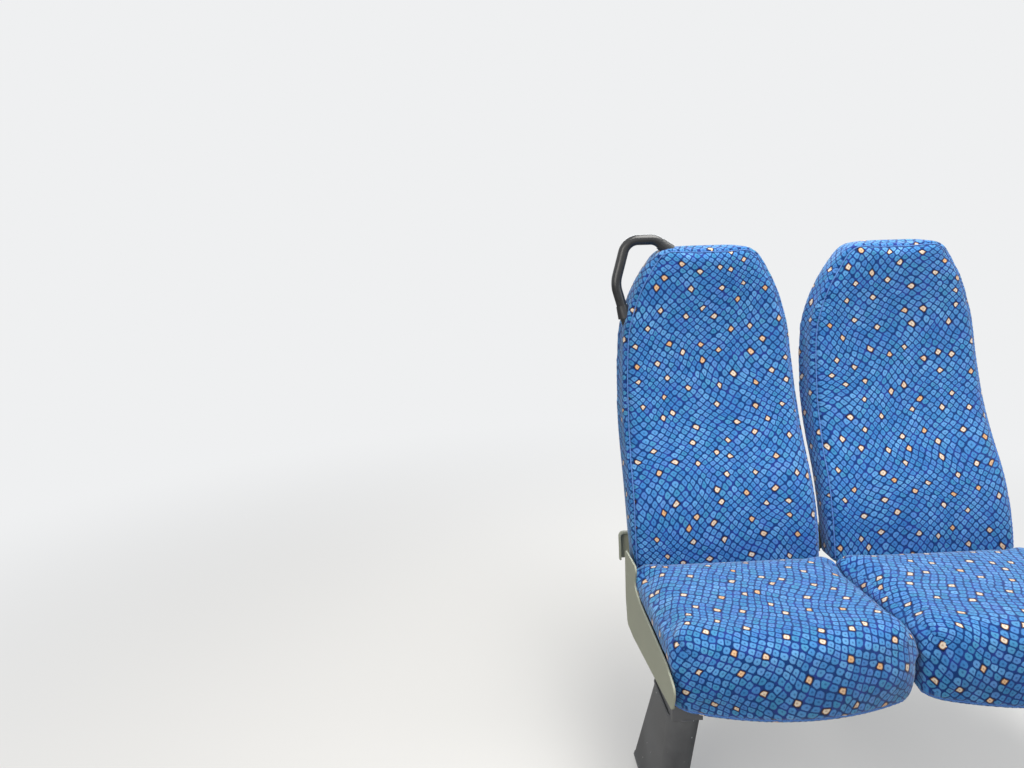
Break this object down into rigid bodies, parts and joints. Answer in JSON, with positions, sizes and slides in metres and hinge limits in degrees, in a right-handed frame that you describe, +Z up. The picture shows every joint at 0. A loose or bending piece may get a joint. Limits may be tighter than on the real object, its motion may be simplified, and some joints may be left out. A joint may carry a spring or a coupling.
{
  "type": "twin passenger seat for a city bus",
  "caption": "Side-by-side high-back bus seats with moquette pads on a steel frame, one pedestal leg at the aisle, a wall plate at the window and a bent grab handle.",
  "frame": {"origin": "on the floor, midway between the two floor bolts of the pedestal leg", "axes": "+Z up, the seats face -Y, the aisle is at -X and the side wall at +X"},
  "size_m": [0.918, 0.6782, 1.14],
  "materials": {
    "moquette": "woven cut-pile wool, blue with a network of darker lines",
    "shell_grey": "light grey moulded plastic with a fine grain",
    "powder_dark": "dark grey powder coat",
    "handle_coating": "dark grey semi-gloss coating on a bent tube",
    "plug_black": "black moulded plastic"
  },
  "bodies": {
    "root": {"foot_plate": "powder_dark", "pedestal_leg": "powder_dark", "leg_head": "powder_dark", "wall_plate": "powder_dark", "front_cross_tube": "powder_dark", "rear_cross_tube": "powder_dark", "front_tube_plug": "plug_black", "rear_tube_plug": "plug_black", "grab_handle": "handle_coating", "upper_handle_collar": "plug_black", "lower_handle_collar": "plug_black", "aisle_side_cover": "shell_grey", "aisle_left_strap": "powder_dark", "aisle_right_strap": "powder_dark", "aisle_tray": "shell_grey", "aisle_back_shell": "shell_grey", "aisle_cushion": "moquette", "aisle_back_pad": "moquette", "window_left_strap": "powder_dark", "window_right_strap": "powder_dark", "window_tray": "shell_grey", "window_back_shell": "shell_grey", "window_cushion": "moquette", "window_back_pad": "moquette"}
  },
  "joints": []
}
